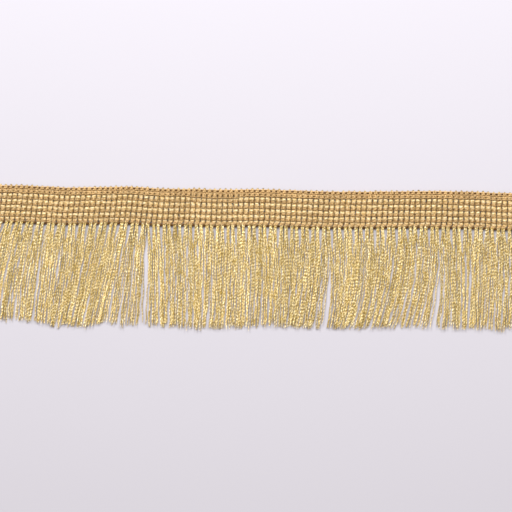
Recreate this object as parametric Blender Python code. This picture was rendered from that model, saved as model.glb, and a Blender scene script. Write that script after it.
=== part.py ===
# A cut length of gold metallic fringe trim, lying flat.
# The heading is a crochet-knitted tape with a weft rib across it at every stitch. Along its
# lower side runs the lock chain, a narrow strip from which the cut fringe hangs: each rib
# ends in one leg, and each leg opens into two strands.
# Metres. X runs along the trim, +Y points to the knitted edge, +Z is up from the floor.

from collections import namedtuple

import bmesh
import bpy
import numpy as np

MM = 0.001

# Driving dimensions, in millimetres
TOP_EDGE = 25.0         # nominal Y of the knitted edge; the tips reach 25 mm the other way
FIRST_RIB = -49         # ribs are numbered from the middle of the trim
RIB_COUNT = 102
RIB_PITCH = 1.929
RIB_ZERO = 0.1          # X of rib 0
RIB_CREEP = 0.000435    # the ribs stand a little closer towards the left end
PIVOT_DEPTH = 5.8       # depth at which a slanted rib crosses its own station
LOCK_TOP = 12.7         # the lock chain, measured down from the knitted edge
LOCK_BOTTOM = 13.8
LOCK_BACK = 1.25        # its height beside the heading
LOCK_KNOT = 1.5         # and at the knots between two pairs of legs
LEG_HEIGHT = 0.95       # height of a leg where it leaves the lock chain
LEG_PINCH = 0.16        # how far the two legs of a pair are pulled together
STRANDS_PER_LEG = 2
ROOT_SPACING = 0.50     # between the two strands of a leg at the root
ROOT_WIDTH = 0.36
STRAND_LENGTH = 36.1
STRAND_FILL = 0.72      # share of its free spacing that a strand fills
STRAND_WIDEST = 0.78
TOP_SHARE = 0.5         # width of a strand's upper side over that of its flat underside
END_MARGIN = 0.2        # the lock chain runs at least this far past its outer strands
LENGTH_SCATTER = 0.35
TIP_SCATTER = 0.11
HEIGHT_SCATTER = 0.06
SCATTER_SEED = 12

# Sections across the heading: depth below the knitted edge, height on a rib and between ribs
Row = namedtuple("Row", "depth crest valley")
HEADING_ROWS = (
    Row(0.0, 0.90, 0.70),      # turns of the weft at the edge
    Row(0.8, 1.45, 1.00),
    Row(2.0, 1.60, 1.20),      # two chains side by side
    Row(2.9, 1.35, 1.00),
    Row(3.75, 1.75, 0.70),     # bare gold weft
    Row(4.7, 1.40, 1.00),      # chain
    Row(5.85, 1.75, 0.70),
    Row(6.85, 1.40, 1.00),
    Row(7.95, 1.75, 0.70),
    Row(9.0, 1.40, 1.00),
    Row(10.1, 1.75, 0.70),
    Row(11.1, 1.40, 1.00),
    Row(11.8, 1.60, 0.80),
    Row(12.4, 1.10, 0.70),     # lower side, beside the lock chain
)
EDGE_SCALLOP = 0.35            # how far a rib's turn stands out past the gaps beside it

# How the heading lies: rise of the knitted edge, and slant of the ribs across it
HeadingStation = namedtuple("HeadingStation", "x rise slant")
HEADING_LIE = (
    HeadingStation(-105.0, 0.20, -0.12),
    HeadingStation(-87.0, 0.33, -0.12),
    HeadingStation(-75.4, 0.02, -0.12),
    HeadingStation(-69.6, -0.30, -0.12),
    HeadingStation(-58.0, 0.08, -0.12),
    HeadingStation(-46.4, 0.42, -0.12),
    HeadingStation(-34.8, -0.22, -0.10),
    HeadingStation(-23.2, -0.03, -0.045),
    HeadingStation(-14.5, -0.28, -0.03),
    HeadingStation(0.0, 0.11, -0.035),
    HeadingStation(11.6, -0.13, -0.04),
    HeadingStation(26.0, -0.39, -0.055),
    HeadingStation(37.7, -0.25, -0.055),
    HeadingStation(46.4, -0.02, -0.045),
    HeadingStation(63.8, 0.29, -0.03),
    HeadingStation(81.2, 0.20, 0.01),
    HeadingStation(87.0, -0.10, 0.014),
    HeadingStation(108.0, 0.0, 0.014),
)

# How the fringe has settled: sideways shift of a strand's root, middle handle and tip.
# Two neighbouring rows that differ by several millimetres open a gap in the fringe.
FringeStation = namedtuple("FringeStation", "x root handle tip")
FRINGE_LIE = (
    FringeStation(-100.0, 0.2, -4.6, -6.4),
    FringeStation(-84.1, 0.2, -5.0, -6.0),
    FringeStation(-75.4, 0.2, -2.7, -3.9),
    FringeStation(-66.7, 0.2, -1.0, -4.3),
    FringeStation(-58.0, 0.2, -3.0, -7.1),
    FringeStation(-49.3, 0.1, -3.5, -7.3),
    FringeStation(-41.3, 0.0, -1.2, -2.4),
    FringeStation(-38.4, -0.1, 0.4, 0.2),
    FringeStation(-31.9, -0.3, 0.8, 0.5),
    FringeStation(-23.2, -0.5, 0.4, 0.1),
    FringeStation(-14.5, -0.6, 0.4, -1.3),
    FringeStation(-5.8, -0.6, -0.2, -1.3),
    FringeStation(2.9, -0.6, 0.2, -1.0),
    FringeStation(7.2, -0.6, -0.3, -1.4),
    FringeStation(11.6, -0.6, 0.1, -1.0),
    FringeStation(20.3, -0.6, -0.3, -3.9),
    FringeStation(25.4, -0.6, -0.5, -3.8),
    FringeStation(28.6, -0.6, 1.6, -1.3),
    FringeStation(37.7, -0.6, 0.9, -3.7),
    FringeStation(46.4, -0.6, 0.7, -4.8),
    FringeStation(55.1, -0.6, 1.1, -5.5),
    FringeStation(65.9, -0.6, 0.4, -4.3),
    FringeStation(68.1, -0.6, 1.0, -1.0),
    FringeStation(72.5, -0.6, 0.6, 0.7),
    FringeStation(81.2, -0.6, 0.0, -1.9),
    FringeStation(88.4, -0.5, 0.7, -0.6),
    FringeStation(106.0, -0.4, 0.3, -0.5),
)

# Rings along a strand: share of its length, and height over the height at the root
Ring = namedtuple("Ring", "share height")
STRAND_RINGS = (
    Ring(0.12, 0.95),
    Ring(0.42, 0.88),
    Ring(0.72, 0.82),
    Ring(1.0, 0.70),
)


def along(table, column, x):
    """The column's value at x, read along the table in straight lines."""
    return np.interp(x, [row.x for row in table], [getattr(row, column) for row in table])


def rib_x(number):
    return RIB_ZERO + RIB_PITCH * number + RIB_CREEP * number * number


def tape_xy(number, depth):
    """Where rib `number`, whole or in between, crosses this depth of the tape."""
    station = rib_x(number)
    x = station + along(HEADING_LIE, "slant", station) * (depth - PIVOT_DEPTH)
    y = TOP_EDGE + along(HEADING_LIE, "rise", station) - depth
    return x, y


def gold_material(name, color, metallic, roughness):
    material = bpy.data.materials.new(name)
    material.use_nodes = True
    shader = material.node_tree.nodes["Principled BSDF"]
    shader.inputs["Base Color"].default_value = (*color, 1.0)
    shader.inputs["Metallic"].default_value = metallic
    shader.inputs["Roughness"].default_value = roughness
    return material


def add_object(name, bm, material, collection):
    bmesh.ops.recalc_face_normals(bm, faces=bm.faces)
    mesh = bpy.data.meshes.new(name)
    bm.to_mesh(mesh)
    bm.free()
    mesh.materials.append(material)
    obj = bpy.data.objects.new(name, mesh)
    collection.objects.link(obj)
    return obj


def grid_cells(bm, columns, rows):
    """A flat grid, and for each of its vertices the column and row that it stands for."""
    bmesh.ops.create_grid(bm, x_segments=columns, y_segments=rows, size=0.5)
    return [
        (vert, round((vert.co.x + 0.5) * columns), round((vert.co.y + 0.5) * rows))
        for vert in bm.verts
    ]


def heading(collection):
    """A grid over the tape, lifted into ribs and chain rows, then drawn down to a flat back."""
    bm = bmesh.new()
    columns = 2 * RIB_COUNT
    last_row = len(HEADING_ROWS) - 1
    for vert, column, grid_row in grid_cells(bm, columns, last_row):
        row = HEADING_ROWS[last_row - grid_row]
        on_rib = column % 2 == 1
        x, y = tape_xy(FIRST_RIB - 0.5 + column / 2, row.depth)
        if row is HEADING_ROWS[0]:
            y += EDGE_SCALLOP / 2 if on_rib else -EDGE_SCALLOP / 2
        vert.co = (x * MM, y * MM, (row.crest if on_rib else row.valley) * MM)
    back = bmesh.ops.extrude_face_region(bm, geom=bm.faces[:])
    for item in back["geom"]:
        if isinstance(item, bmesh.types.BMVert):
            item.co.z = 0.0
    material = gold_material("gold and tan crochet knit", (0.55, 0.36, 0.17), 0.35, 0.5)
    return add_object("heading", bm, material, collection)


def strand_paths():
    """Centre lines of all strands, as arrays of x and y with a row for each strand and a
    column for the root and each ring: a quadratic curve through root, handle and tip."""
    scatter = np.random.default_rng(SCATTER_SEED)
    legs = FIRST_RIB + np.arange(RIB_COUNT)
    number = np.repeat(legs, STRANDS_PER_LEG).astype(float)
    side = np.tile([-1.0, 1.0], RIB_COUNT)
    first_of_pair = np.abs(number) % 2 == 1
    root_x, root_y = tape_xy(number, LOCK_BOTTOM)
    free_x, _ = tape_xy(number + side / (2 * STRANDS_PER_LEG), LOCK_BOTTOM)
    root_x = root_x + along(FRINGE_LIE, "root", rib_x(number))
    root_x = root_x + np.where(first_of_pair, LEG_PINCH, -LEG_PINCH) + side * ROOT_SPACING / 2
    tip_shift = along(FRINGE_LIE, "tip", free_x)
    tip_shift = tip_shift + scatter.uniform(-TIP_SCATTER, TIP_SCATTER, len(number))
    length = STRAND_LENGTH + scatter.uniform(-LENGTH_SCATTER, LENGTH_SCATTER, len(number))
    reach = np.sqrt(length ** 2 - tip_shift ** 2)
    handle_x = free_x + along(FRINGE_LIE, "handle", free_x)
    tip_x = free_x + tip_shift
    share = np.array([0.0] + [ring.share for ring in STRAND_RINGS])
    at_root, at_handle, at_tip = (1 - share) ** 2, 2 * share * (1 - share), share ** 2
    x = np.outer(root_x, at_root) + np.outer(handle_x, at_handle) + np.outer(tip_x, at_tip)
    y = root_y[:, None] - np.outer(reach, at_handle / 2 + at_tip)
    return x, y


def strand_widths(x):
    """Each strand's width at each ring: its share of the room beside it, up to the widest."""
    gaps = np.diff(x, axis=0)
    left = np.vstack([gaps[:1], gaps])
    right = np.vstack([gaps, gaps[-1:]])
    width = np.minimum(STRAND_FILL * np.minimum(left, right), STRAND_WIDEST)
    width[:, 0] = ROOT_WIDTH
    return width


def lock_back_height(x, knots):
    """Height of the lock chain at its far side: it rises to a knot between two pairs."""
    nearest = np.abs(x - knots[:, None]).min(axis=0)
    bump = np.clip(1.0 - nearest / (RIB_PITCH / 2), 0.0, 1.0)
    return LOCK_BACK + (LOCK_KNOT - LOCK_BACK) * bump


def place_ring(face, x, y, width, height):
    """Moves a strand's newest face to its ring: flat below, narrower above."""
    low_to_high = sorted(face.verts, key=lambda vert: vert.co.z)
    for pair, z, half in ((low_to_high[:2], 0.0, 0.5 * width),
                          (low_to_high[2:], height, 0.5 * width * TOP_SHARE)):
        left, right = sorted(pair, key=lambda vert: vert.co.x)
        left.co = ((x - half) * MM, y * MM, z * MM)
        right.co = ((x + half) * MM, y * MM, z * MM)


def fringe(collection):
    """The lock chain's front is a row of faces, and every second one is drawn out, ring by
    ring, into a strand that lies flat on the floor."""
    x, y = strand_paths()
    width = strand_widths(x)
    strands = len(x)
    end_left, _ = tape_xy(FIRST_RIB - 0.5, LOCK_BOTTOM)
    end_right, _ = tape_xy(FIRST_RIB + RIB_COUNT - 0.5, LOCK_BOTTOM)
    edges = np.column_stack([x[:, 0] - width[:, 0] / 2, x[:, 0] + width[:, 0] / 2]).ravel()
    lines = np.concatenate([[min(end_left, edges[0] - END_MARGIN)], edges,
                            [max(end_right, edges[-1] + END_MARGIN)]])
    rise = along(HEADING_LIE, "rise", lines)
    knots, _ = tape_xy(np.arange(FIRST_RIB - 0.5, FIRST_RIB + RIB_COUNT, 2.0), LOCK_BOTTOM)
    back_height = lock_back_height(lines, knots + along(FRINGE_LIE, "root", knots))

    bm = bmesh.new()
    for vert, column, grid_row in grid_cells(bm, len(lines) - 1, 1):
        y_front = TOP_EDGE + rise[column] - LOCK_BOTTOM
        vert.co = (lines[column] * MM, y_front * MM, LEG_HEIGHT * grid_row * MM)
    front = bm.faces[:]
    back = bmesh.ops.extrude_face_region(bm, geom=front)
    for item in back["geom"]:
        if isinstance(item, bmesh.types.BMVert):
            column = int(np.abs(lines * MM - item.co.x).argmin())
            item.co.y += (LOCK_BOTTOM - LOCK_TOP) * MM
            if item.co.z > 0:
                item.co.z = back_height[column] * MM

    roots = sorted(front, key=lambda face: face.calc_center_median().x)[1::2]
    scatter = np.random.default_rng(SCATTER_SEED + 1)
    height = LEG_HEIGHT + scatter.uniform(-HEIGHT_SCATTER, HEIGHT_SCATTER, strands)
    for strand, face in enumerate(roots):
        for step, ring in enumerate(STRAND_RINGS, start=1):
            drawn = bmesh.ops.extrude_discrete_faces(bm, faces=[face])
            face = drawn["faces"][0]
            place_ring(face, x[strand, step], y[strand, step], width[strand, step],
                       height[strand] * ring.height)
    material = gold_material("gold metallic fringe yarn", (0.66, 0.50, 0.22), 0.8, 0.35)
    return add_object("fringe", bm, material, collection)


def main():
    for obj in list(bpy.data.objects):
        bpy.data.objects.remove(obj, do_unlink=True)
    collection = bpy.data.collections.new("metallic fringe trim")
    bpy.context.scene.collection.children.link(collection)
    heading(collection)
    fringe(collection)


main()
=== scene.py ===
# Metallic fringe trim, a cut length lying flat on a pale table.
# The heading is crochet-knitted: gold weft runs up and down across it and seven tan chain
# stitches run along it. The weft's ends hang from the last chain as the cut fringe.
# Metres, +X along the trim, +Y to the knitted edge, +Z up. Sizes in the dictionaries are in
# millimetres unless a note says otherwise, and makePiece turns them to metres.
import math

import bpy
import numpy as np
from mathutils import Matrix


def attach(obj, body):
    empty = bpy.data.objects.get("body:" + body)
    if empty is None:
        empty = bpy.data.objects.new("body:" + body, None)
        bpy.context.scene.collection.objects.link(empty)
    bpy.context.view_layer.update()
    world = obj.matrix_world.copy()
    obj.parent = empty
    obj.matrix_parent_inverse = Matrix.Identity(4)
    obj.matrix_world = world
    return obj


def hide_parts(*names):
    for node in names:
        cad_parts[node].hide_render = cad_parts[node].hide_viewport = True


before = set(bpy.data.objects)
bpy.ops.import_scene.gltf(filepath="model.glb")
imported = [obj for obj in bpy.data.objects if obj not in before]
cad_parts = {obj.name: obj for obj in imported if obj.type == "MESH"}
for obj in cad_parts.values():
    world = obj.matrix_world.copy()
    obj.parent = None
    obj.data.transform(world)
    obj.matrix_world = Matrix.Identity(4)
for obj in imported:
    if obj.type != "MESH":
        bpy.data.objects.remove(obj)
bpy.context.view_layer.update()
mm = 0.001


# ---- camera

camera = {
    "height": 900.0,          # above the table; it looks straight down
    "frameWidth": 185.5,      # of the table across the picture
    "centre": (0.0, 0.44),    # the table's point in the middle of the picture
    "roll": 0.785,            # degrees: the trim runs slightly downhill to the right
    "sensor": 36.0,
}


def placeCamera(values):
    data = bpy.data.cameras.new("camera")
    data.sensor_width = values["sensor"]
    data.lens = values["sensor"] * values["height"] / values["frameWidth"]
    data.clip_start, data.clip_end = 0.01, 10.0
    obj = bpy.data.objects.new("camera", data)
    obj.location = [value * mm for value in (*values["centre"], values["height"])]
    obj.rotation_euler = (0.0, 0.0, math.radians(values["roll"]))
    bpy.context.scene.collection.objects.link(obj)
    bpy.context.scene.camera = obj


placeCamera(camera)
print("camera placed")


# ---- how the tape lies, the same numbers as the solids

tape = {
    "topEdge": 25.0,          # nominal y of the knitted edge
    "firstRib": -49,
    "ribCount": 102,
    "ribPitch": 1.929,
    "ribZero": 0.1,
    "ribCreep": 0.000435,
    "pivotDepth": 5.8,        # depth at which a slanted rib crosses its own station
    "lockDepth": 13.8,        # where the legs leave the last chain
    "legPinch": 0.16,         # the two legs of a pair are pulled together by this
    "flatWidth": 13.8,        # the heading before it was sewn to anything: its cut size
}

# station x, rise of the knitted edge there, slant of the ribs across the tape
headingLie = np.array([
    (-105.0, 0.20, -0.12), (-87.0, 0.33, -0.12), (-75.4, 0.02, -0.12), (-69.6, -0.30, -0.12),
    (-58.0, 0.08, -0.12), (-46.4, 0.42, -0.12), (-34.8, -0.22, -0.10), (-23.2, -0.03, -0.045),
    (-14.5, -0.28, -0.03), (0.0, 0.11, -0.035), (11.6, -0.13, -0.04), (26.0, -0.39, -0.055),
    (37.7, -0.25, -0.055), (46.4, -0.02, -0.045), (63.8, 0.29, -0.03), (81.2, 0.20, 0.01),
    (87.0, -0.10, 0.014), (108.0, 0.0, 0.014),
])

# station x, sideways shift of a leg's root, of its curve's handle and of its tip
fringeLie = np.array([
    (-100.0, 0.2, -4.6, -6.4), (-84.1, 0.2, -5.0, -6.0), (-75.4, 0.2, -2.7, -3.9),
    (-66.7, 0.2, -1.0, -4.3), (-58.0, 0.2, -3.0, -7.1), (-49.3, 0.1, -3.5, -7.3),
    (-41.3, 0.0, -1.2, -2.4), (-38.4, -0.1, 0.4, 0.2), (-31.9, -0.3, 0.8, 0.5),
    (-23.2, -0.5, 0.4, 0.1), (-14.5, -0.6, 0.4, -1.3), (-5.8, -0.6, -0.2, -1.3),
    (2.9, -0.6, 0.2, -1.0), (7.2, -0.6, -0.3, -1.4), (11.6, -0.6, 0.1, -1.0),
    (20.3, -0.6, -0.3, -3.9), (25.4, -0.6, -0.5, -3.8), (28.6, -0.6, 1.6, -1.3),
    (37.7, -0.6, 0.9, -3.7), (46.4, -0.6, 0.7, -4.8), (55.1, -0.6, 1.1, -5.5),
    (65.9, -0.6, 0.4, -4.3), (68.1, -0.6, 1.0, -1.0), (72.5, -0.6, 0.6, 0.7),
    (81.2, -0.6, 0.0, -1.9), (88.4, -0.5, 0.7, -0.6), (106.0, -0.4, 0.3, -0.5),
])


def readLie(table, column, x):  # straight lines between the table's stations
    return np.interp(x, table[:, 0], table[:, column])


def ribX(number):  # zero + pitch times number + creep times number squared
    return tape["ribZero"] + tape["ribPitch"] * number + tape["ribCreep"] * number ** 2


def tapeX(number, depth):  # the rib's station, plus its slant times the depth past the pivot
    station = ribX(number)
    return station + readLie(headingLie, 2, station) * (depth - tape["pivotDepth"])


def tapeY(number, depth):  # the knitted edge with its rise, less the depth
    return tape["topEdge"] + readLie(headingLie, 1, ribX(number)) - depth


def legShift(number):  # the leg's root shift, and its pull towards the other leg of the pair
    pinch = np.where(np.abs(number) % 2 == 1, tape["legPinch"], -tape["legPinch"])
    return readLie(fringeLie, 1, ribX(number)) + pinch


def smooth(value):  # 0 below 0 and 1 above 1, eased between: 3 v squared less 2 v cubed
    value = np.clip(value, 0.0, 1.0)
    return value * value * (3.0 - 2.0 * value)


slackZone = {                 # where the second chain hangs over the first gold row
    "from": -26.0,            # x
    "to": -5.0,
    "ease": 3.0,              # it comes on and goes off over this
    "depth": 3.7,             # middle of the gold row
    "halfDepth": 0.75,
    "flattening": 0.6,        # share of their fullness that the beads lose there
}


def slack(x):  # 1 in the slack zone, eased to 0 on both sides
    return (smooth((x - slackZone["from"]) / slackZone["ease"])
            * smooth((slackZone["to"] - x) / slackZone["ease"]))


# ---- tubes: a profile carried along many paths at once

def carryProfile(path, halfWidth, halfHeight, sides, turn=0.0, lobes=0, lobeDepth=0.0,
                 lobeTurn=0.0, power=1.0, closed=False):
    # path holds x, y, z for each tube and ring. The profile at a ring is halfWidth times
    # cos(angle) and halfHeight times sin(angle), both raised to `power` with their sign kept: 1
    # is an ellipse and less than 1 squarer. Its radius is times 1 + lobeDepth *
    # cos(lobes * angle + lobeTurn), and it is turned by `turn` radians about the path. One axis
    # of it lies level, at a right angle to the path, and the other points up.
    if closed:
        forward = np.roll(path, -1, axis=1) - np.roll(path, 1, axis=1)
    else:
        forward = np.gradient(path, axis=1)
    forward /= np.linalg.norm(forward, axis=-1, keepdims=True)
    across = np.cross(forward, (0.0, 0.0, 1.0))
    across /= np.linalg.norm(across, axis=-1, keepdims=True)
    upward = np.cross(across, forward)

    def perRing(value):  # one number, or one for each tube and ring, set against the sides
        return np.broadcast_to(value, path.shape[:2])[..., None]

    angle = 2 * np.pi * np.arange(sides) / sides
    radius = 1 + lobeDepth * np.cos(lobes * angle + perRing(lobeTurn))
    cosine = np.sign(np.cos(angle)) * np.abs(np.cos(angle)) ** power
    sine = np.sign(np.sin(angle)) * np.abs(np.sin(angle)) ** power
    wide = perRing(halfWidth) * cosine * radius
    high = perRing(halfHeight) * sine * radius
    turned = perRing(turn)
    level = wide * np.cos(turned) - high * np.sin(turned)
    raised = wide * np.sin(turned) + high * np.cos(turned)
    points = (path[:, :, None] + level[..., None] * across[:, :, None]
              + raised[..., None] * upward[:, :, None])
    return {"points": points, "path": path, "closed": closed}


def makePiece(name, tubes, tones, material, smoothFaces=True):
    # Joins sets of tubes into one mesh. Each tube's wall is a grid of rings and sides, and its
    # ends are closed by a face each. UV: u goes once round, v is the distance along in mm.
    # "tone" is a number from 0 to 1 for each tube, for the material to vary the yarn with.
    points, corners, starts, uvs, toneOfPoint, offset = [], [], [], [], [], 0
    for made, tone in zip(tubes, tones):
        count, rings, sides = made["points"].shape[:3]
        index = offset + np.arange(count * rings * sides).reshape(count, rings, sides)
        ahead = np.roll(index, -1, axis=1)
        quads = np.stack([index, ahead, np.roll(ahead, -1, axis=2), np.roll(index, -1, axis=2)], -1)
        path = made["path"]
        step = np.linalg.norm(np.roll(path, -1, axis=1) - path, axis=-1)
        low = np.cumsum(step, axis=1) - step
        v = np.stack([low, low + step, low + step, low], -1)[:, :, None, :]
        side = np.arange(sides) / sides
        u = np.stack([side, side, side + 1 / sides, side + 1 / sides], -1)[None, None]
        uv = np.stack(np.broadcast_arrays(u, v), -1)
        if not made["closed"]:
            quads, uv = quads[:, :-1], uv[:, :-1]
        corners.append(quads.ravel())
        starts.append(np.full(quads.size // 4, 4))
        uvs.append(uv.reshape(-1, 2))
        if not made["closed"]:
            caps = np.concatenate([index[:, 0], index[:, -1, ::-1]])
            corners.append(caps.ravel())
            starts.append(np.full(len(caps), sides))
            uvs.append(np.zeros((caps.size, 2)))
        points.append(made["points"].reshape(-1, 3) * mm)
        toneOfPoint.append(np.repeat(np.asarray(tone, float), rings * sides))
        offset += index.size

    points, corners, sizes = (np.concatenate(part) for part in (points, corners, starts))
    mesh = bpy.data.meshes.new(name)
    mesh.vertices.add(len(points))
    mesh.vertices.foreach_set("co", points.ravel())
    mesh.loops.add(len(corners))
    mesh.loops.foreach_set("vertex_index", corners.astype(np.int32))
    mesh.polygons.add(len(sizes))
    mesh.polygons.foreach_set("loop_start", (np.cumsum(sizes) - sizes).astype(np.int32))
    mesh.update(calc_edges=True)
    mesh.polygons.foreach_set("use_smooth", np.full(len(sizes), smoothFaces))
    mesh.uv_layers.new(name="UVMap").data.foreach_set("uv", np.concatenate(uvs).ravel())
    attribute = mesh.attributes.new("tone", "FLOAT", "POINT")
    attribute.data.foreach_set("value", np.concatenate(toneOfPoint))
    mesh.materials.append(material)
    obj = bpy.data.objects.new(name, mesh)
    bpy.context.scene.collection.objects.link(obj)
    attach(obj, "root")
    print(name, "made,", int((sizes - 2).sum()), "triangles")
    return obj


# ---- materials

def linearColour(hexColour):  # sRGB to linear: a straight line near black, a power of 2.4 above
    parts = np.array([int(hexColour[i:i + 2], 16) for i in (1, 3, 5)]) / 255
    value = np.where(parts <= 0.04045, parts / 12.92, ((parts + 0.055) / 1.055) ** 2.4)
    return (*value.tolist(), 1.0)


def addNode(tree, kind, inputs=None, **settings):
    # inputs maps a socket's name or number to a value, or to the (node, output) that feeds it
    node = tree.nodes.new(kind)
    for key, value in settings.items():
        setattr(node, key, value)
    for key, value in (inputs or {}).items():
        socket = node.inputs[key]
        if isinstance(value, tuple) and isinstance(value[0], bpy.types.Node):
            tree.links.new(value[0].outputs[value[1]], socket)
        else:
            socket.default_value = value
    return node


def newMaterial(name):
    material = bpy.data.materials.new(name)
    material.use_nodes = True
    tree = material.node_tree
    return material, tree, tree.nodes["Principled BSDF"]


weftYarn = {
    "foil": "#C3AB7D",         # bright foil
    "foilPaintedGlint": "#D1BF99",
    "foilPaintedShade": "#B2925A",     # painted shade of foil that turns away, and the tint between turns
    "core": "#8E723C",         # the core thread between two turns of foil
    "turnPitch": 0.75,         # one turn of foil; the real 0.3 mm is too fine to show
    "coreShare": 0.22,         # of a turn that the foil leaves open
    "speckle": 0.60,           # size of the creases in the foil
    "creases": (0.38, 0.62),   # of the noise: where the foil's painted shade is deepest and its painted glint palest
    "metallic": 0.22,
    "roughnessFoil": 0.60,
    "roughnessCore": 0.55,
    "toneSpread": 0.12,        # how much one thread is darker than another
    "bumpHeight": 0.03,
}

fringeYarn = {
    "foil": "#FDE298",
    "foilPaintedGlint": "#FFF2C8",
    "foilPaintedShade": "#C6A854",
    "core": "#8A702C",
    "turnPitch": 0.80,
    "coreShare": 0.26,
    "speckle": 0.42,
    "creases": (0.45, 0.55),
    "metallic": 0.24,
    "roughnessFoil": 0.30,
    "roughnessCore": 0.55,
    "toneSpread": 0.30,
    "bumpHeight": 0.05,
}

foilPattern = {               # the same on every foil yarn
    "turnStep": 7.0,          # turns between the phase of the darkest thread and of the palest
    "creaseStep": 90.0,       # and how far apart their creases are taken from the noise
    "edgeSoftness": 0.35,     # of the line between foil and core
    "brightest": 1.10,        # the palest thread's colour is times this
}


def foilMaterial(name, values):
    # Metallised yarn: gold polyester foil wound on a thin core thread. The eye gets small hard
    # flashes where a turn faces the light, olive brown between the turns, and threads that
    # differ slightly in tone. The foil's creases are painted: noise lays painted shade and
    # painted glint into its colour.
    material, tree, shader = newMaterial(name)
    uv = addNode(tree, "ShaderNodeUVMap", uv_map="UVMap")
    place = addNode(tree, "ShaderNodeTexCoord")
    tone = addNode(tree, "ShaderNodeAttribute", attribute_name="tone")
    split = addNode(tree, "ShaderNodeSeparateXYZ", {0: (uv, "UV")})
    # the foil's helix: sine of 2 pi times (u + v / pitch + turnStep * tone), so that the turns
    # of neighbouring threads don't line up
    along = addNode(tree, "ShaderNodeMath", {0: (split, "Y"), 1: 1 / values["turnPitch"]},
                    operation="MULTIPLY")
    shifted = addNode(tree, "ShaderNodeMath",
                      {0: (tone, "Fac"), 1: foilPattern["turnStep"], 2: (along, 0)},
                      operation="MULTIPLY_ADD")
    turns = addNode(tree, "ShaderNodeMath", {0: (split, "X"), 1: (shifted, 0)}, operation="ADD")
    phase = addNode(tree, "ShaderNodeMath", {0: (turns, 0), 1: 2 * math.pi}, operation="MULTIPLY")
    wave = addNode(tree, "ShaderNodeMath", {0: (phase, 0)}, operation="SINE")
    edge = -math.cos(math.pi * values["coreShare"])
    soft = foilPattern["edgeSoftness"]
    foil = addNode(tree, "ShaderNodeMapRange", {0: (wave, 0), 1: edge - soft, 2: edge + soft},
                   interpolation_type="SMOOTHSTEP")
    # creases: noise at the size of a crease, other on each thread, from painted shade to painted
    # glint on the foil
    thread = addNode(tree, "ShaderNodeMath", {0: (tone, "Fac"), 1: foilPattern["creaseStep"]},
                     operation="MULTIPLY")
    crease = addNode(tree, "ShaderNodeTexNoise",
                     {"Vector": (place, "Object"), "W": (thread, 0),
                      "Scale": 1000 / values["speckle"], "Detail": 1.5, "Roughness": 0.6},
                     noise_dimensions="4D")
    ramp = addNode(tree, "ShaderNodeValToRGB", {0: (crease, 0)})
    ramp.color_ramp.elements[0].position = values["creases"][0]
    ramp.color_ramp.elements[0].color = linearColour(values["foilPaintedShade"])
    ramp.color_ramp.elements[1].position = values["creases"][1]
    ramp.color_ramp.elements[1].color = linearColour(values["foilPaintedGlint"])
    ramp.color_ramp.elements.new(0.5).color = linearColour(values["foil"])
    wound = addNode(tree, "ShaderNodeMix",
                    {0: (foil, 0), 6: linearColour(values["core"]), 7: (ramp, 0)},
                    data_type="RGBA")
    brightest = foilPattern["brightest"]
    shade = addNode(tree, "ShaderNodeMapRange",
                    {0: (tone, "Fac"), 3: brightest - values["toneSpread"], 4: brightest})
    toned = addNode(tree, "ShaderNodeVectorMath", {0: (wound, 2), 1: (shade, 0)},
                    operation="MULTIPLY")
    tree.links.new(toned.outputs[0], shader.inputs["Base Color"])
    rough = addNode(tree, "ShaderNodeMapRange",
                    {0: (foil, 0), 3: values["roughnessCore"], 4: values["roughnessFoil"]})
    tree.links.new(rough.outputs[0], shader.inputs["Roughness"])
    height = addNode(tree, "ShaderNodeMath", {0: (crease, 0), 1: (foil, 0)}, operation="ADD")
    bump = addNode(tree, "ShaderNodeBump",
                   {"Height": (height, 0), "Distance": values["bumpHeight"] * mm, "Strength": 1.0})
    tree.links.new(bump.outputs[0], shader.inputs["Normal"])
    shader.inputs["Metallic"].default_value = values["metallic"]
    return material


tanYarn = {
    "light": "#D9B683",
    "mid": "#9A7842",
    "paintedShade": "#6A4216",       # painted shade, where the yarn dips down between the ribs
    "paintedShadeHeights": (0.30, 0.48, 0.84, 1.16),    # painted shade: darkest between the middle two, plain outside
    "plyPitch": 0.55,          # one turn of its two plies
    "plyShare": 0.42,          # how much the plies' painted shade shows over the fibre
    "fibre": 0.12,             # fibre bundles
    "contrast": (0.15, 0.85),  # of the plies' painted shade and the fibre together: where the yarn is darkest and palest
    "tones": (0.82, 1.08),     # the darkest and the palest stitch's colour are times these
    "bumpHeight": 0.03,
    "roughness": 0.62,
    "specular": 0.3,
    "sheen": 0.08,
}


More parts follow.
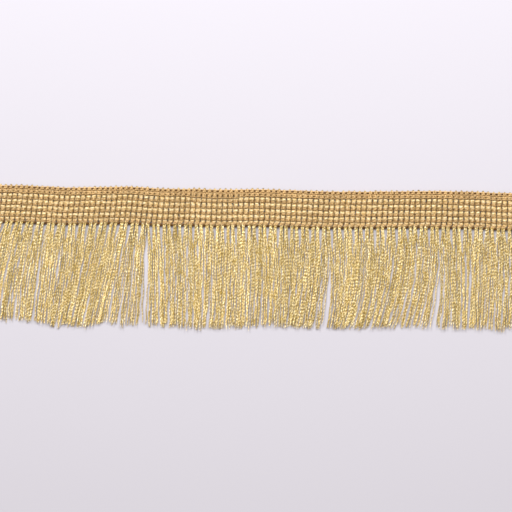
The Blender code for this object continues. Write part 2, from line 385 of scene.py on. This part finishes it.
def chainMaterial(name, values):
    # Tan viscose: two soft plies with a dull silk lustre. The eye gets a warm matt bead on each
    # rib, a fine slanting line between the plies, and brown where it dives between the ribs. The
    # line is painted shade in the crease between the plies, laid over the fibre's own mottle, and
    # the brown is painted shade, laid on by height.
    material, tree, shader = newMaterial(name)
    uv = addNode(tree, "ShaderNodeUVMap", uv_map="UVMap")
    place = addNode(tree, "ShaderNodeTexCoord")
    tone = addNode(tree, "ShaderNodeAttribute", attribute_name="tone")
    split = addNode(tree, "ShaderNodeSeparateXYZ", {0: (uv, "UV")})
    # plies: sine of 2 pi times (u + v / pitch), painted shade in the crease between them
    along = addNode(tree, "ShaderNodeMath",
                    {0: (split, "Y"), 1: 1 / values["plyPitch"], 2: (split, "X")},
                    operation="MULTIPLY_ADD")
    phase = addNode(tree, "ShaderNodeMath", {0: (along, 0), 1: 2 * math.pi}, operation="MULTIPLY")
    ply = addNode(tree, "ShaderNodeMath", {0: (phase, 0)}, operation="SINE")
    fibre = addNode(tree, "ShaderNodeTexNoise",
                    {"Vector": (place, "Object"), "Scale": 1000 / values["fibre"], "Detail": 2.0})
    mottled = addNode(tree, "ShaderNodeMath", {0: (ply, 0), 1: values["plyShare"], 2: (fibre, 0)},
                      operation="MULTIPLY_ADD")
    darkest, palest = values["contrast"]
    plyShadeAndFibre = addNode(tree, "ShaderNodeMapRange", {0: (mottled, 0), 1: darkest, 2: palest})
    yarn = addNode(tree, "ShaderNodeMix",
                   {0: (plyShadeAndFibre, 0), 6: linearColour(values["mid"]), 7: linearColour(values["light"])},
                   data_type="RGBA")
    # painted shade: the colour turns dark brown by height where the yarn dips between the ribs, and
    # on the underside yarn that lies there
    height = addNode(tree, "ShaderNodeSeparateXYZ", {0: (place, "Object")})
    first, second, third, last = (value * mm for value in values["paintedShadeHeights"])
    below = addNode(tree, "ShaderNodeMapRange",
                    {0: (height, "Z"), 1: first, 2: second, 3: 1.0, 4: 0.0})
    above = addNode(tree, "ShaderNodeMapRange", {0: (height, "Z"), 1: third, 2: last})
    raised = addNode(tree, "ShaderNodeMath", {0: (below, 0), 1: (above, 0)}, operation="ADD")
    shadePainted = addNode(tree, "ShaderNodeMix",
                   {0: (raised, 0), 6: linearColour(values["paintedShade"]), 7: (yarn, 2)},
                   data_type="RGBA")
    low, high = values["tones"]
    shade = addNode(tree, "ShaderNodeMapRange", {0: (tone, "Fac"), 3: low, 4: high})
    toned = addNode(tree, "ShaderNodeVectorMath", {0: (shadePainted, 2), 1: (shade, 0)},
                    operation="MULTIPLY")
    tree.links.new(toned.outputs[0], shader.inputs["Base Color"])
    bump = addNode(tree, "ShaderNodeBump",
                   {"Height": (mottled, 0), "Distance": values["bumpHeight"] * mm, "Strength": 1.0})
    tree.links.new(bump.outputs[0], shader.inputs["Normal"])
    shader.inputs["Roughness"].default_value = values["roughness"]
    shader.inputs["Specular IOR Level"].default_value = values["specular"]
    shader.inputs["Sheen Weight"].default_value = values["sheen"]
    return material


edgeShadedYarn = {                  # the weft's own yarn, duller where it turns back, and painted darker and more olive there: painted shade
    **weftYarn,
    "foil": "#A28A52",
    "foilPaintedGlint": "#C6AE76",
    "foilPaintedShade": "#745E32",
    "core": "#604A22",
    "creases": (0.42, 0.60),
    "metallic": 0.15,
    "roughnessFoil": 0.65,
}

goldThread = foilMaterial("gold metallised foil yarn, cut fringe", fringeYarn)
# painted shade: the knobs where the weft turns at the edge get a darker copy of the weft's foil
edgeShadedThread = foilMaterial("gold metallised foil yarn, darker where it turns at the edge", edgeShadedYarn)
goldWeft = foilMaterial("gold metallised foil yarn, laid as weft", weftYarn)
tanThread = chainMaterial("tan viscose chain yarn, plied", tanYarn)
print("materials made")


# ---- gold weft: ribs across the heading, joined two by two at the knitted edge

weft = {
    "ringsPerTurn": 9,
    "sides": 16,
    "lobes": 5,               # threads that show round a rib
    "lobeDepth": 0.05,        # share of the radius
    "lobePitch": 9.0,         # the threads wind once round the rib in this
    "power": 0.98,            # of the profile: hardly flattened between its neighbours
    "turnDepth": 2.00,        # where a rib starts to bend over into the next
    "turnTop": 1.76,          # centre line of the turn, below the edge
    "turnWidth": 0.42,        # share of a rib's width, halfway through the turn
    "endDepth": 13.65,
    "loneEnd": 1.36,          # where the two ribs without a partner end
    "ringGap": 0.04,          # no ring closer than this to the first or last of a rib
    "bulge": {"halfWidth": 0.87, "top": 1.66, "bottom": 0.32},    # bare, between two chains
    "pinch": {"halfWidth": 0.80, "top": 0.95, "bottom": 0.42},    # hard against a chain
    "bendFrom": 12.2,         # the rib bends to its leg from here down
    "wobble": 0.06,           # of its middle
    "unevenWidth": 0.07,      # as a share
    "unevenHeight": 0.05,
    "unevenWaves": (2.1, 4.3),    # radians a millimetre of depth
    "seed": 3,
}

# a bare bead below a chain, and the chain's own bed: depth past the chain's middle, and the
# fullness there, from 0 pinched to 1 bulged. A bead comes out low from under its chain and
# rises to the next one, so that all of it faces the light.
beadRows = ((-0.42, 0.80), (-0.20, 0.45), (0.10, 0.35), (0.40, 0.12), (0.62, 0.06), (0.80, 0.42),
            (1.04, 0.68), (1.30, 0.90), (1.54, 1.0))
beadChains = (2.72, 4.82, 6.96, 9.11, 11.24)    # the chains with a bare bead below
weftRows = np.array([(0.0, 0.05), (1.10, 0.15), (1.85, 0.20)]
                    + [(middle + depth, full) for middle in beadChains
                       for depth, full in beadRows
                       if middle + depth < (4.3 if middle < 3 else 12.2)]
                    + [(12.32, 0.55), (12.52, 0.40), (12.86, 0.30), (13.25, 0.05), (14.5, 0.15)])


def legBend(depth):  # 0 while a rib runs straight, and 1 where it has bent over to its leg
    return smooth((depth - weft["bendFrom"]) / (weft["endDepth"] - weft["bendFrom"]))


def makeWeft(values):
    # A pair of ribs is one tube: up one rib, over the turn and down the next. Its profile at a
    # depth is an ellipse whose width, top and underside lie between pinch and bulge.
    rng = np.random.default_rng(values["seed"])
    numbers = tape["firstRib"] + np.arange(tape["ribCount"])
    pairs = numbers[(numbers % 2 == 0) & (numbers < numbers[-1])]
    singles = np.array([numbers[0], numbers[-1]])

    def ribTubes(number, depth, share):
        # number and depth say where on the tape each ring's centre is; the rib's width, top
        # and underside go from the pinched to the bulged values with its fullness, and its
        # width is times share
        full = np.interp(depth, weftRows[:, 0], weftRows[:, 1])
        inRow = np.abs(depth - slackZone["depth"]) < slackZone["halfDepth"]
        full = full * (1 - slackZone["flattening"] * slack(ribX(number)) * inRow)
        size = {key: values["pinch"][key] + full * (values["bulge"][key] - values["pinch"][key])
                for key in values["bulge"]}
        x = tapeX(number, depth) + legBend(depth) * legShift(np.round(number))
        y = tapeY(number, depth)
        z = (size["top"] + size["bottom"]) / 2

        def uneven(amount):  # two sines of the depth, out of step from rib to rib
            start = rng.random((2, len(number), 1)) * 2 * np.pi
            slow, quick = values["unevenWaves"]
            return amount * (np.sin(depth * slow + start[0]) + np.sin(depth * quick + start[1]))

        x = x + uneven(values["wobble"])
        wider, higher = 1 + uneven(values["unevenWidth"]), 1 + uneven(values["unevenHeight"])
        lobeTurn = 2 * np.pi * (depth / values["lobePitch"] + rng.random((len(number), 1)))
        return carryProfile(np.stack([x, y, z], -1), size["halfWidth"] * wider * share,
                            (size["top"] - size["bottom"]) / 2 * higher, values["sides"],
                            lobes=values["lobes"], lobeDepth=values["lobeDepth"],
                            lobeTurn=lobeTurn, power=values["power"])

    # a ring at each change of the rib's form
    rows = weftRows[:, 0]
    inside = ((rows > values["turnDepth"] + values["ringGap"])
              & (rows < values["endDepth"] - values["ringGap"]))
    depthDown = np.array([values["turnDepth"], *rows[inside], values["endDepth"]])
    # the turn: half an ellipse from one rib to the next, its top at turnTop
    angle = np.linspace(0, np.pi, values["ringsPerTurn"] + 2)[1:-1]
    turnNumber = 0.5 - 0.5 * np.cos(angle)
    turnDepth = values["turnDepth"] - (values["turnDepth"] - values["turnTop"]) * np.sin(angle)
    numberAlong = np.concatenate([np.zeros(len(depthDown)), turnNumber, np.ones(len(depthDown))])
    depthAlong = np.concatenate([depthDown[::-1], turnDepth, depthDown])
    pairNumber = pairs[:, None] + numberAlong[None]
    share = 1 - (1 - values["turnWidth"]) * np.sin(np.pi * numberAlong)
    joined = ribTubes(pairNumber, np.broadcast_to(depthAlong, pairNumber.shape), share)

    depthSingle = np.array([values["loneEnd"], values["turnTop"], *depthDown])
    singleNumber = np.broadcast_to(singles[:, None].astype(float), (2, len(depthSingle)))
    lone = ribTubes(singleNumber, np.broadcast_to(depthSingle, singleNumber.shape), 1.0)
    tones = [rng.random(len(pairs)), rng.random(2)]
    return makePiece("weft", [joined, lone], tones, goldWeft)


weftPiece = makeWeft(weft)
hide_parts("heading")


# ---- the ends of the ribs: a knob each at the knitted edge

knob = {
    "rings": 8,
    "sides": 10,
    "from": 1.90,             # depth, inside the rib
    "to": 0.06,               # and of its tip, at the edge
    "reach": 0.985,           # share of the way to the tip at which its end closes
    "halfWidth": 0.62,
    "halfHeight": 0.36,
    "height": 0.86,           # centre line
    "droop": 0.38,            # its tip is this much lower
    "scatter": 0.09,          # of the tip's depth
    "limits": (-0.14, 0.20),  # of that scatter
    "sideScatter": 0.03,      # in rib pitches
    "roundness": 2.4,         # of the end: a power
    "seed": 8,
}


def makeKnobs(values):
    # The share s of the way to the tip is reach times the sine of a quarter turn, and the
    # profile is times the root of 1 - s to the power `roundness`, so the end is round.
    rng = np.random.default_rng(values["seed"])
    number = (tape["firstRib"] + np.arange(tape["ribCount"], dtype=float))[:, None]
    s = values["reach"] * np.sin(np.linspace(0.01, 1, values["rings"]) * np.pi / 2)[None]
    tip = values["to"] + rng.normal(0, values["scatter"], number.shape).clip(*values["limits"])
    depth = values["from"] + (tip - values["from"]) * s
    number = number + rng.normal(0, values["sideScatter"], number.shape) * s
    z = np.broadcast_to(values["height"] - values["droop"] * s, depth.shape)
    full = np.sqrt(1 - s ** values["roundness"])
    path = np.stack([tapeX(number, depth), tapeY(number, depth), z], -1)
    knobs = carryProfile(path, values["halfWidth"] * full, values["halfHeight"] * full,
                         values["sides"])
    return makePiece("edgeKnobs", [knobs], [rng.random(len(number))], edgeShadedThread)


knobPiece = makeKnobs(knob)


# ---- tan chain stitches: seven rows of loops that hold the ribs

chain = {
    "points": 24,             # of a link's closed path
    "sides": 5,
    "reach": 0.66,            # half a link's length, in rib pitches: it ends past a rib's middle
    "under": 0.16,            # the base of a link passes this much below the last one's head
    "fullest": 1.12,          # the yarn swells to this share of its thickness on a rib
    "tightest": 0.60,         # and is drawn in to this between two
    "slackBy": 0.50,          # how far the second row's lower legs hang down where slack
    "jitter": 0.045,          # of a link's depth, place along the row and height
    "uneven": 0.06,           # of the yarn's thickness, as a share
    "seed": 5,
}

# a row of chain: depth, half distance of its two legs between two ribs, share of that which is
# left on a rib, yarn thickness, crest height, dip between two ribs
chainRows = np.array([
    (1.12, 0.44, 0.86, 0.58, 1.38, 0.34),
    (2.54, 0.46, 0.78, 0.58, 1.44, 0.34),
    (4.82, 0.27, 0.95, 0.38, 1.48, 0.66),
    (6.96, 0.27, 0.95, 0.38, 1.48, 0.66),
    (9.11, 0.27, 0.95, 0.38, 1.48, 0.66),
    (11.24, 0.27, 0.95, 0.38, 1.46, 0.66),
    (12.86, 0.40, 0.90, 0.40, 1.36, 0.62),
])


def makeChains(values):
    # A link is a closed path from one rib over the gap to the next. Along the row it is
    # reach * cos(a) from the gap. Across it is halfLegs times the root of sin(a), with its
    # sign, and less on the ribs. Its height is the crest less dip * cos(pi * along) cubed, and
    # its base goes under the head of the link before.
    rng = np.random.default_rng(values["seed"])
    gaps = tape["firstRib"] - 0.5 + np.arange(tape["ribCount"] + 1)
    gap, row = [part.ravel() for part in np.meshgrid(gaps, np.arange(len(chainRows)))]
    depth, halfLegs, onRib, thick, crest, dip = (chainRows[row, column][:, None]
                                                 for column in range(6))
    angle = (2 * np.pi * (np.arange(values["points"]) + 0.5) / values["points"])[None]
    along = -values["reach"] * np.cos(angle)
    inGap = np.clip(np.cos(np.pi * along), 0, 1)
    across = halfLegs * np.sign(np.sin(angle)) * np.abs(np.sin(angle)) ** 0.5
    across = across * (onRib + (1 - onRib) * inGap)
    jitter = rng.normal(0, values["jitter"], (len(gap), 3))
    stitchDepth = depth + across + jitter[:, :1]
    stitchNumber = gap[:, None] + along + jitter[:, 1:2]
    hangs = slack(ribX(stitchNumber)) * (row[:, None] == 1) * (across > 0)
    stitchDepth = stitchDepth + values["slackBy"] * hangs
    x = (tapeX(stitchNumber, stitchDepth)
         + legBend(stitchDepth) * readLie(fringeLie, 1, ribX(stitchNumber)))
    y = tapeY(stitchNumber, stitchDepth)
    z = crest - dip * inGap ** 3 + jitter[:, 2:]
    z = z - values["under"] * smooth(-along / values["reach"])
    path = np.stack([x, y, z], -1)
    half = thick / 2 * (1 + values["uneven"] * rng.uniform(-1, 1, thick.shape))
    half = half * (values["fullest"] - (values["fullest"] - values["tightest"]) * inGap)
    loops = carryProfile(path, half, half, values["sides"], closed=True)
    return makePiece("chainStitches", [loops], [rng.random(len(gap))], tanThread)


chainPiece = makeChains(chain)


# ---- the chains' yarn on the underside

underside = {
    "ringsPerRib": 6,
    "sides": 6,
    "halfThick": 0.34,
    "lowest": 0.36,           # centre line under a rib
    "rise": 0.18,             # how far it comes up between two ribs
    "swing": 0.12,            # how far it weaves across the row
    "drops": (0.0, 0.0, 0.0, 0.0, 0.0, 0.0, 0.80),    # the last shows dark between the legs
}


def makeUnderside(values):
    # One yarn a row: its height is lowest + rise * sin squared (pi * number), so that it lies
    # under each rib and comes up between two. The rows' colours go from pale to dark: painted
    # shade, so that the last one looks as dark as the shade between the legs.
    count = tape["ribCount"] * values["ringsPerRib"] + 1
    number = tape["firstRib"] - 0.5 + np.arange(count)[None] / values["ringsPerRib"]
    depth = (chainRows[:, :1] + np.array(values["drops"])[:, None]
             + values["swing"] * np.sin(2 * np.pi * number))
    number = np.broadcast_to(number, depth.shape)
    x = tapeX(number, depth) + legBend(depth) * readLie(fringeLie, 1, ribX(number))
    z = values["lowest"] + values["rise"] * np.sin(np.pi * number) ** 2
    path = np.stack([x, tapeY(number, depth), z], -1)
    half = np.full(x.shape, values["halfThick"])
    yarns = carryProfile(path, half, half, values["sides"])
    # painted shade: the rows' colours darken from the first to the last
    return makePiece("undersideYarn", [yarns], [np.linspace(1, 0, len(chainRows))], tanThread)


undersidePiece = makeUnderside(underside)


# ---- fringe: each leg opens into six threads

fringe = {
    "threadsPerLeg": 6,       # three beside each other in two layers
    "rings": 84,
    "sides": 5,
    "halfWide": 0.24,         # a thread is a little flat and twisted
    "halfHigh": 0.17,
    "twistPitch": 2.2,
    "rootDepth": 13.1,        # starts inside the rib's end
    "rootSpacing": 0.34,
    "layerShift": 0.12,       # the upper layer lies this much to the right of the lower
    "unevenThick": 0.12,      # as a share
    "length": 36.7,           # from the root
    "lengthScatter": 0.50,
    "legLengthScatter": 0.20,
    "handleScatter": 0.30,
    "tipScatter": 0.50,
    "waveHeight": 0.11,
    "waveSpread": (0.3, 1.6),        # a thread's waves are times a number between these
    "waveLengths": ((5.0, 9.0), (12.0, 22.0)),
    "rootHeights": (0.68, 1.10),     # centre of the lower and upper layer at the root
    "restHeights": (0.31, 0.72),     # and once they have come down to the table
    "settle": 9.0,                   # over this length
    "tipLifts": (0.10, 0.30),        # the cut ends of each layer rise by this
    "liftLength": 9.0,               # over this length
    "liftSpread": (0.4, 1.3),        # a thread's lift is times a number between these
    "ripple": 0.14,                  # the upper layer rises and falls by up to this
    "ripples": (1, 4),               # this many times along its length
    "fanLengths": (9.0, 18.0),       # a leg's threads have opened out after this
    "fanWidth": 1.15,                # over this share of the rib pitch
    "clumpHeight": 0.14,
    "clumpLengths": (3.0, 9.0),
    "clumpAtHandle": 0.5,            # share of a bunch's drift that the handle already has
    "taper": 0.55,                   # a tip's share of the thickness
    "taperLength": 1.6,
    "clumpWaves": 5,
    "partingWidth": 1.6,             # threads this far from a parting still give way
    "partingEase": 0.45,             # it opens over this share of the length
    "seed": 12,
}

# station x, how much further the threads reach there than their length and slant give
fringeReach = np.array([
    (-90.0, -0.3), (-81.0, -0.6), (-75.0, -0.4), (-70.0, 0.6), (-64.0, 1.3), (-54.0, 1.9),
    (-48.0, 0.8), (-34.0, 0.1), (-22.0, 0.8), (-4.0, 0.6), (6.0, -0.3), (14.0, -0.2),
    (22.0, 0.15), (55.0, 0.2), (68.0, -0.3), (88.0, 0.0),
])

# where the fringe parts: station x, how far each side gives way at the tips, and the share of
# the length above which it is still closed
partings = (
    (-81.0, 0.45, 0.5), (-47.6, 0.40, 0.3), (-43.6, 0.35, 0.3), (-39.6, 0.70, -0.1),
    (-17.8, 0.30, 0.3), (-6.3, 0.35, 0.4), (0.2, 0.25, 0.5), (6.0, 0.30, 0.4),
    (9.0, 0.45, 0.55), (27.0, 0.80, 0.35), (52.8, 0.35, 0.4), (67.0, 0.85, 0.3),
    (73.0, 0.30, 0.3), (79.0, 0.30, 0.4),
)


def makeFringe(values):
    # A thread's centre line is a quadratic curve through root, handle and tip: their shares are
    # (1 - s) squared, 2 s (1 - s) and s squared, with s from 0 at the root to 1 at the tip. Onto
    # it go a slow wave of its own and the drift of the bunch that it lies in.
    rng = np.random.default_rng(values["seed"])
    numbers = tape["firstRib"] + np.arange(tape["ribCount"])
    perLeg = values["threadsPerLeg"]
    leg = np.repeat(numbers, perLeg).astype(float)
    order = np.tile(np.arange(perLeg), tape["ribCount"])
    column, layer = order // 2 - 1.0, order % 2
    total = len(leg)

    def bunches(x):  # a sum of slow sines, that pushes neighbours together and apart
        waves = np.zeros_like(x)
        for _ in range(values["clumpWaves"]):
            waves += np.sin(2 * np.pi * (x / rng.uniform(*values["clumpLengths"]) + rng.random()))
        return waves * values["clumpHeight"]

    rootX = tapeX(leg, tape["lockDepth"]) + legShift(leg) + column * values["rootSpacing"]
    rootX = rootX + (layer - 0.5) * values["layerShift"]
    rootY = tapeY(leg, values["rootDepth"])
    freeX = tapeX(leg + values["fanWidth"] * ((order + 0.5) / perLeg - 0.5), tape["lockDepth"])
    fanLength = np.repeat(rng.uniform(*values["fanLengths"], len(numbers)), perLeg)[:, None]
    handleShift = readLie(fringeLie, 2, freeX) + values["clumpAtHandle"] * bunches(freeX)
    tipShift = readLie(fringeLie, 3, freeX) + bunches(freeX)
    handleShift = handleShift + rng.normal(0, values["handleScatter"], total)
    tipShift = tipShift + rng.normal(0, values["tipScatter"], total)
    length = values["length"] + rng.normal(0, values["lengthScatter"], total)
    length = length + np.repeat(rng.normal(0, values["legLengthScatter"], len(numbers)), perLeg)
    reach = np.sqrt(length ** 2 - tipShift ** 2) + readLie(fringeReach, 1, freeX)

    s = np.linspace(0, 1, values["rings"])[None]
    fanned = smooth(s * values["length"] / fanLength)
    straight = tapeX(leg, tape["lockDepth"])
    x = (rootX[:, None] * (1 - s) ** 2 + (straight + handleShift)[:, None] * 2 * s * (1 - s)
         + (straight + tipShift)[:, None] * s ** 2 + (freeX - straight)[:, None] * fanned)
    y = rootY[:, None] - reach[:, None] * s
    for station, giving, closed in partings:  # less with the distance, by a power of e
        side = freeX - station
        away = np.sign(side) * giving * np.exp(-np.abs(side) / values["partingWidth"])
        x = x + away[:, None] * smooth((s - closed) / values["partingEase"])
    for shortest, longest in values["waveLengths"]:  # coming on over the first quarter
        waves = length / rng.uniform(shortest, longest, total)
        phase = rng.random(total)
        height = values["waveHeight"] * rng.uniform(*values["waveSpread"], total)
        x = x + smooth(s * 4) * height[:, None] * np.sin(
            2 * np.pi * (waves[:, None] * s + phase[:, None]))
    rootZ = np.array(values["rootHeights"])[layer][:, None]
    restZ = np.array(values["restHeights"])[layer][:, None]
    down = smooth(s * values["length"] / values["settle"])
    z = rootZ + (restZ - rootZ) * down
    lift = rng.uniform(0, values["ripple"], (total, 1)) * down * (layer[:, None] == 1)
    ripples = rng.uniform(*values["ripples"], (total, 1))
    z = z + lift * np.sin(2 * np.pi * (s * ripples + rng.random((total, 1))))
    fromTip = (1 - s) * values["length"] / values["liftLength"]
    tipLift = np.array(values["tipLifts"])[layer] * rng.uniform(*values["liftSpread"], total)
    z = z + tipLift[:, None] * smooth(1 - fromTip)
    turn = 2 * np.pi * (s * length[:, None] / values["twistPitch"] + rng.random((total, 1)))
    path = np.stack([x, y, z], -1)
    frayed = smooth(1 - (1 - s) * values["length"] / values["taperLength"])
    uneven = 1 + values["unevenThick"] * rng.uniform(-1, 1, (total, 1))
    thick = uneven * (1 - (1 - values["taper"]) * frayed)
    tone = rng.random(total)
    pieces = []
    for name, chosen in zip(("fringeLeft", "fringeMiddle", "fringeRight"),
                            np.array_split(np.arange(total), 3)):
        threads = carryProfile(path[chosen], values["halfWide"] * thick[chosen],
                               values["halfHigh"] * thick[chosen], values["sides"],
                               turn=turn[chosen])
        pieces.append(makePiece(name, [threads], [tone[chosen]], goldThread, smoothFaces=False))
    return pieces


fringePieces = makeFringe(fringe)
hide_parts("fringe")


# ---- table and light

studio = {
    "tableColour": "#B9B7C0",
    "tableRoughness": 0.7,
    "tableSize": 3000.0,
    "domeColour": "#F4EAE0",
    "domeAbove": 0.70,        # brightness of the light dome straight above
    "domeLevel": 0.22,        # and at the level of the table
    "leftPlace": (-250.0, 550.0, 600.0),
    "leftPower": 7.1,         # watts
    "rightPlace": (290.0, 550.0, 600.0),
    "rightPower": 5.6,
    "lampSize": (340.0, 260.0),
}


def makeTable(values):
    material, tree, shader = newMaterial("matt white laminate")  # plain, with hardly any sheen
    shader.inputs["Base Color"].default_value = linearColour(values["tableColour"])
    shader.inputs["Roughness"].default_value = values["tableRoughness"]
    half = values["tableSize"] * mm / 2
    mesh = bpy.data.meshes.new("table")
    mesh.from_pydata([(-half, -half, 0), (half, -half, 0), (half, half, 0), (-half, half, 0)],
                     [], [(0, 1, 2, 3)])
    mesh.materials.append(material)
    obj = bpy.data.objects.new("table", mesh)
    bpy.context.scene.collection.objects.link(obj)
    return obj


def addSoftLight(name, place, size, power):
    data = bpy.data.lights.new(name, "AREA")
    data.shape = "RECTANGLE"
    data.size, data.size_y = (side * mm for side in size)
    data.energy = power
    obj = bpy.data.objects.new(name, data)
    obj.location = [value * mm for value in place]
    away = obj.location.normalized()  # it looks back at the trim
    obj.rotation_euler = away.to_track_quat("Z", "Y").to_euler()
    bpy.context.scene.collection.objects.link(obj)


def makeDome(values):  # brightness goes from domeLevel at the horizon to domeAbove overhead
    world = bpy.data.worlds.new("light dome")
    world.use_nodes = True
    tree = world.node_tree
    background = tree.nodes["Background"]
    background.inputs["Color"].default_value = linearColour(values["domeColour"])
    place = addNode(tree, "ShaderNodeTexCoord")
    split = addNode(tree, "ShaderNodeSeparateXYZ", {0: (place, "Generated")})
    level = addNode(tree, "ShaderNodeMapRange",
                    {0: (split, "Z"), 3: values["domeLevel"], 4: values["domeAbove"]})
    tree.links.new(level.outputs[0], background.inputs["Strength"])
    bpy.context.scene.world = world


table = makeTable(studio)
for side in ("left", "right"):
    addSoftLight(side + " lamp", studio[side + "Place"], studio["lampSize"], studio[side + "Power"])
makeDome(studio)
bpy.context.scene.view_settings.view_transform = "Standard"
print("studio made")
